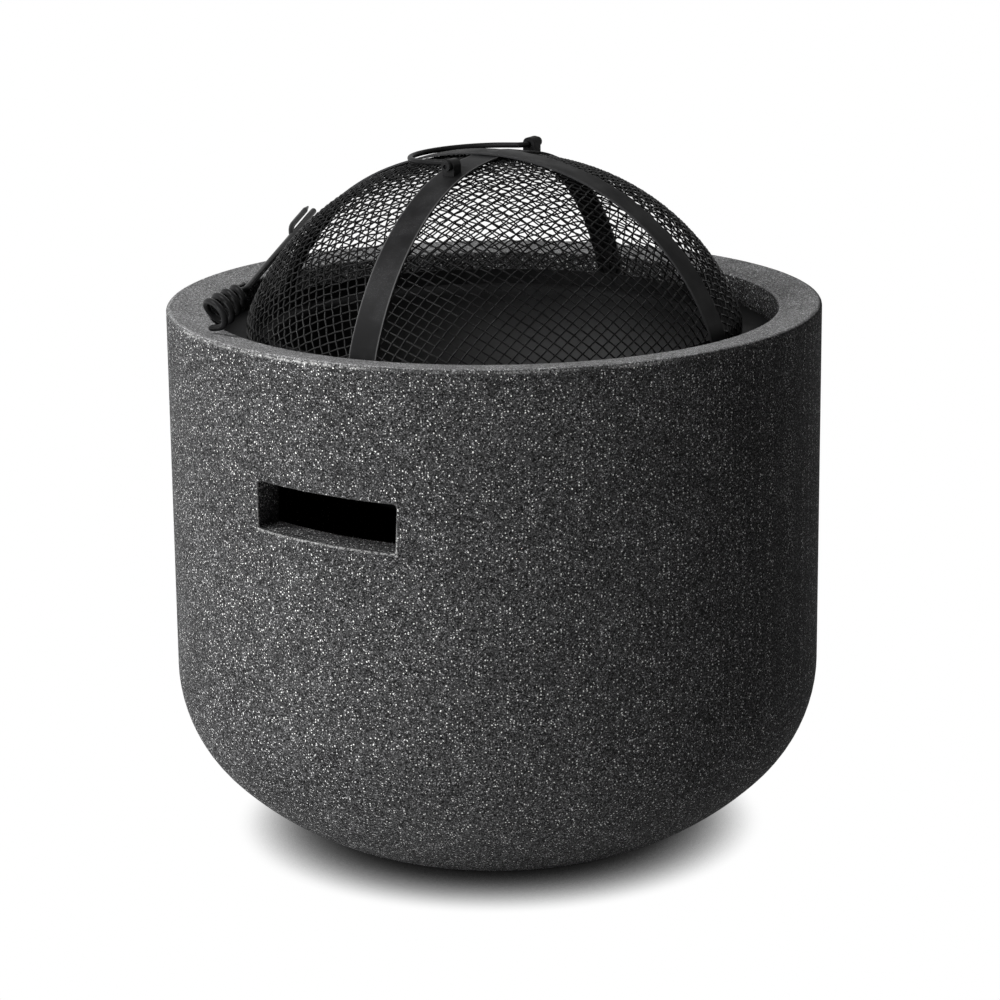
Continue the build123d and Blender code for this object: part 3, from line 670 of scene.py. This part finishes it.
class FIREPIT_OT_weave(Operator):
    """Weaves the screen from four quarter panels of wire."""

    bl_idname = "firepit.weave_screen"
    bl_label = "Weave Screen"

    def execute(self, context):
        screen = context.scene.firepit_screen
        finish = context.scene.firepit_finish
        # Ash and painted light on the wire: lighter near the foot, on the side that faces the lamps
        ash_and_light = ("Z", SCREEN_FOOT, finish.ash_and_light_reach, finish.wire_ash_and_light)
        lit_half = (finish.lit_side, finish.lit_spread)
        paint = make_paint_finish(
            "wire_paint", finish.wire_black, finish.paint_worn,
            amount=0.4, scales=(120.0, 1500.0), gloss=-0.2, shine=0.06, edge=ash_and_light, side=lit_half
        )
        line = DomeLine(screen)
        for panel in range(4):
            middle = PANEL_HALF * (2 * panel + 1)
            joined = bmesh.new()
            for family in (0, 1):
                wires = weave_panel(screen, line, middle, family)
                tubes = tubes_of_wires(wires, f"wires_{panel}_{family}", screen.wire)
                joined.from_mesh(tubes)
                bpy.data.meshes.remove(tubes)
            mesh = bpy.data.meshes.new(f"screen_panel_{panel + 1}")
            joined.to_mesh(mesh)
            joined.free()
            place_piece(mesh, mesh.name, paint, "screen", "screen_mesh", "mesh_dome")
        return {"FINISHED"}


class FIREPIT_OT_bail(Operator):
    """Gives the bail its satin paint."""

    bl_idname = "firepit.dress_bail"
    bl_label = "Dress Bail"

    def execute(self, context):
        finish = context.scene.firepit_finish
        paint = make_paint_finish(
            "bail_paint", finish.paint_black, finish.paint_worn,
            amount=0.2, scales=(90.0, 1400.0), gloss=-0.1, shine=0.04
        )
        paint_nodes(paint, "bail_handle", "bail_pin_ends")
        return {"FINISHED"}


def heading_vector(heading, rise):
    """Unit vector with a heading seen from above and a rise above level."""
    return Vector((cos(rise) * cos(heading), cos(rise) * sin(heading), sin(rise)))


def handle_points(poker):
    """Points of the wound handle's wire, from its free end to the rod."""
    rod_low, rod_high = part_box("poker_rod")
    start = Vector((rod_high.x, rod_low.y, rod_low.z))
    end = Vector((rod_low.x, rod_high.y, rod_high.z))
    inwards = Vector((-1.0, 1.0, 1.0)) * poker.wire / 2
    slack = Vector((0.0, 0.0, 0.0))
    for trial in range(8):
        rod_axis = (end - start - 2 * slack).normalized()
        slack = Vector([step * sqrt(1 - share**2) for step, share in zip(inwards, rod_axis)])
    neck = start + slack
    string = heading_vector(atan2(rod_axis.y, rod_axis.x), poker.rise)
    coil_length = poker.quarters / 4 * poker.pitch
    heel = neck - string * ((1 - poker.peak) * coil_length + poker.tail)
    lean = heading_vector(poker.place - poker.lean_turn, poker.lean_rise)
    side = Vector((0, 0, 1)).cross(lean).normalized()
    up = lean.cross(side)

    def turn_radius(share):
        if share < poker.peak:
            swell = sin(pi / 2 * share / poker.peak)
            return poker.end_radius + (poker.coil_radius - poker.end_radius) * swell
        fall = cos(pi / 2 * (share - poker.peak) / (1 - poker.peak))
        return poker.neck_radius + (poker.coil_radius - poker.neck_radius) * fall

    def turn_point(quarter):
        share = quarter / poker.quarters
        turn = poker.start_angle - quarter * pi / 2
        out = side * cos(turn) + up * sin(turn)
        return heel + string * ((share - poker.peak) * coil_length) + out * turn_radius(share)

    steps = poker.quarters * poker.points_per_quarter
    turns = [turn_point(step / poker.points_per_quarter) for step in range(steps + 1)]
    first = (turns[0] - turn_point(0.05)).normalized()
    stub = [turns[0] + first * poker.stub * share for share in (1.0, 0.9, 0.5)]
    lead = neck - rod_axis * poker.wire
    return stub + turns + [lead, neck, neck + rod_axis * poker.wire]


class FIREPIT_OT_poker(Operator):
    """Winds the poker's handle and gives the poker its satin paint."""

    bl_idname = "firepit.wind_poker"
    bl_label = "Wind Poker"

    def execute(self, context):
        finish = context.scene.firepit_finish
        poker = context.scene.firepit_poker
        paint = make_paint_finish(
            "poker_paint", finish.paint_black, finish.paint_worn,
            amount=0.15, scales=(110.0, 1300.0), gloss=-0.22, shine=0.05
        )
        paint_nodes(paint, "poker_rod", "poker_barb")
        curve = bpy.data.curves.new("poker_winding", "CURVE")
        curve.dimensions = "3D"
        curve.bevel_depth = poker.wire / 2
        curve.bevel_resolution = 4
        curve.use_fill_caps = True
        spline = curve.splines.new("NURBS")
        points = handle_points(poker)
        spline.points.add(len(points) - 1)
        for point, place in zip(spline.points, points):
            point.co = (*place, 1.0)
        spline.points[0].radius = 0.55
        spline.use_endpoint_u = True
        spline.order_u = 3
        spline.resolution_u = 3
        mesh = mesh_of_curve(curve, "poker_winding")
        place_piece(mesh, "poker_winding", paint, "poker", "poker_steel", "poker_handle")
        return {"FINISHED"}


def aim(place, target):
    """Matrix of a lamp at a place, looking at a target."""
    turn = (Vector(target) - Vector(place)).to_track_quat("-Z", "Y")
    return Matrix.Translation(place) @ turn.to_matrix().to_4x4()


def add_lamp(name, turn, height, back, size, power, target):
    """Soft area lamp, placed by its azimuth from the camera's side."""
    lamp = bpy.data.lights.new(name, "AREA")
    lamp.shape = "RECTANGLE"
    lamp.size, lamp.size_y = size
    lamp.energy = power
    place = Vector((back * sin(turn), -back * cos(turn), height))
    holder = bpy.data.objects.new(name, lamp)
    holder.matrix_world = aim(place, target)
    bpy.context.scene.collection.objects.link(holder)


def seen_directly(tree):
    """One for rays from the camera, from reflections and through glass, and nothing for the rest."""
    light = add_node(tree, "ShaderNodeLightPath")
    shown = maths(tree, "MAXIMUM", light.outputs["Is Camera Ray"], light.outputs["Is Glossy Ray"])
    return maths(tree, "MAXIMUM", shown, light.outputs["Is Transmission Ray"])


def make_world(stage):
    """White background for the camera and for reflections, and a low even light for the rest."""
    world = bpy.data.worlds.new("studio")
    world.use_nodes = True
    tree = world.node_tree
    tree.nodes.clear()
    strength = fade(tree, seen_directly(tree), 0.0, 1.0, stage.ambient, 1.0)
    sky = add_node(tree, "ShaderNodeBackground", {"Color": (1, 1, 1, 1), "Strength": strength})
    out = add_node(tree, "ShaderNodeOutputWorld")
    tree.links.new(sky.outputs[0], out.inputs["Surface"])
    bpy.context.scene.world = world


def make_floor(stage):
    """Pale floor that the camera sees as white, with the drum's soft shadow on it."""
    bm = bmesh.new()
    bmesh.ops.create_circle(bm, cap_ends=True, segments=96, radius=stage.floor_radius)
    mesh = bpy.data.meshes.new("floor")
    bm.to_mesh(mesh)
    bm.free()
    floor = bpy.data.objects.new("floor", mesh)
    bpy.context.scene.collection.objects.link(floor)
    material = bpy.data.materials.new("floor_white")
    material.use_nodes = True
    tree = material.node_tree
    tree.nodes.clear()
    room = add_node(tree, "ShaderNodeAmbientOcclusion", {"Distance": stage.shadow_reach}, samples=16)
    shade = fade(tree, room.outputs["AO"], 0.02, 0.92)
    glow = add_node(tree, "ShaderNodeEmission", {"Color": (1, 1, 1, 1), "Strength": shade})
    matt = add_node(tree, "ShaderNodeBsdfDiffuse", {"Color": (0.8, 0.8, 0.8, 1)})
    both = add_node(
        tree,
        "ShaderNodeMixShader",
        {0: seen_directly(tree), 1: matt.outputs[0], 2: glow.outputs[0]},
    )
    out = add_node(tree, "ShaderNodeOutputMaterial")
    tree.links.new(both.outputs[0], out.inputs["Surface"])
    mesh.materials.append(material)


def make_camera(stage):
    """Camera at the photograph's place."""
    camera = bpy.data.cameras.new("camera")
    camera.lens = stage.lens
    camera.sensor_width = 36.0
    camera.clip_start = 0.05
    camera.clip_end = 50.0
    yaw = stage.camera_yaw
    fall = stage.camera_pitch
    ahead = Vector((sin(yaw) * cos(fall), cos(yaw) * cos(fall), -sin(fall)))
    right = ahead.cross(Vector((0, 0, 1))).normalized()
    up = right.cross(ahead)
    rolled_right = right * cos(stage.camera_roll) + up * sin(stage.camera_roll)
    rolled_up = up * cos(stage.camera_roll) - right * sin(stage.camera_roll)
    basis = Matrix((rolled_right, rolled_up, -ahead)).transposed().to_4x4()
    place = Matrix.Translation((0, -stage.camera_back, stage.camera_height))
    holder = bpy.data.objects.new("camera", camera)
    holder.matrix_world = Matrix.Rotation(stage.camera_turn, 4, "Z") @ place @ basis
    bpy.context.scene.collection.objects.link(holder)
    bpy.context.scene.camera = holder


class FIREPIT_OT_stage(Operator):
    """Sets the floor, the lamps, the background and the camera."""

    bl_idname = "firepit.set_stage"
    bl_label = "Set Stage"

    def execute(self, context):
        stage = context.scene.firepit_stage
        context.scene.view_settings.view_transform = "Standard"
        make_world(stage)
        make_floor(stage)
        make_camera(stage)
        for name, (left, height, back, size, power, target) in LAMPS.items():
            turn = stage.camera_turn - radians(left)
            add_lamp(name, turn, height, back, size, power, (0.0, 0.0, target))
        return {"FINISHED"}


PIECE_STEPS = (
    FIREPIT_OT_drum,
    FIREPIT_OT_bowl,
    FIREPIT_OT_screen_steel,
    FIREPIT_OT_weave,
    FIREPIT_OT_bail,
    FIREPIT_OT_poker,
    FIREPIT_OT_stage,
)


class FIREPIT_PT_panel(Panel):
    """Lists the steps that dress the fire pit."""

    bl_idname = "FIREPIT_PT_panel"
    bl_label = "Fire Pit"
    bl_space_type = "VIEW_3D"
    bl_region_type = "UI"
    bl_category = "Fire Pit"

    def draw(self, context):
        for step in PIECE_STEPS:
            self.layout.operator(step.bl_idname)


SETTINGS = {
    "firepit_drum": DrumSettings,
    "firepit_screen": ScreenSettings,
    "firepit_poker": PokerSettings,
    "firepit_finish": FinishSettings,
    "firepit_stage": StageSettings,
}
CLASSES = (*SETTINGS.values(), *PIECE_STEPS, FIREPIT_PT_panel)


def register():
    """Adds the settings, the steps and the panel."""
    for item in CLASSES:
        bpy.utils.register_class(item)
    for name, group in SETTINGS.items():
        setattr(bpy.types.Scene, name, PointerProperty(type=group))


def unregister():
    """Takes the settings, the steps and the panel away."""
    for name in SETTINGS:
        delattr(bpy.types.Scene, name)
    for item in reversed(CLASSES):
        bpy.utils.unregister_class(item)


def main():
    """Dresses the fire pit."""
    register()
    bpy.ops.firepit.dress_drum()
    bpy.ops.firepit.dress_bowl()
    bpy.ops.firepit.dress_screen_steel()
    bpy.ops.firepit.weave_screen()
    bpy.ops.firepit.dress_bail()
    bpy.ops.firepit.wind_poker()
    bpy.ops.firepit.set_stage()


if __name__ == "__main__":
    main()
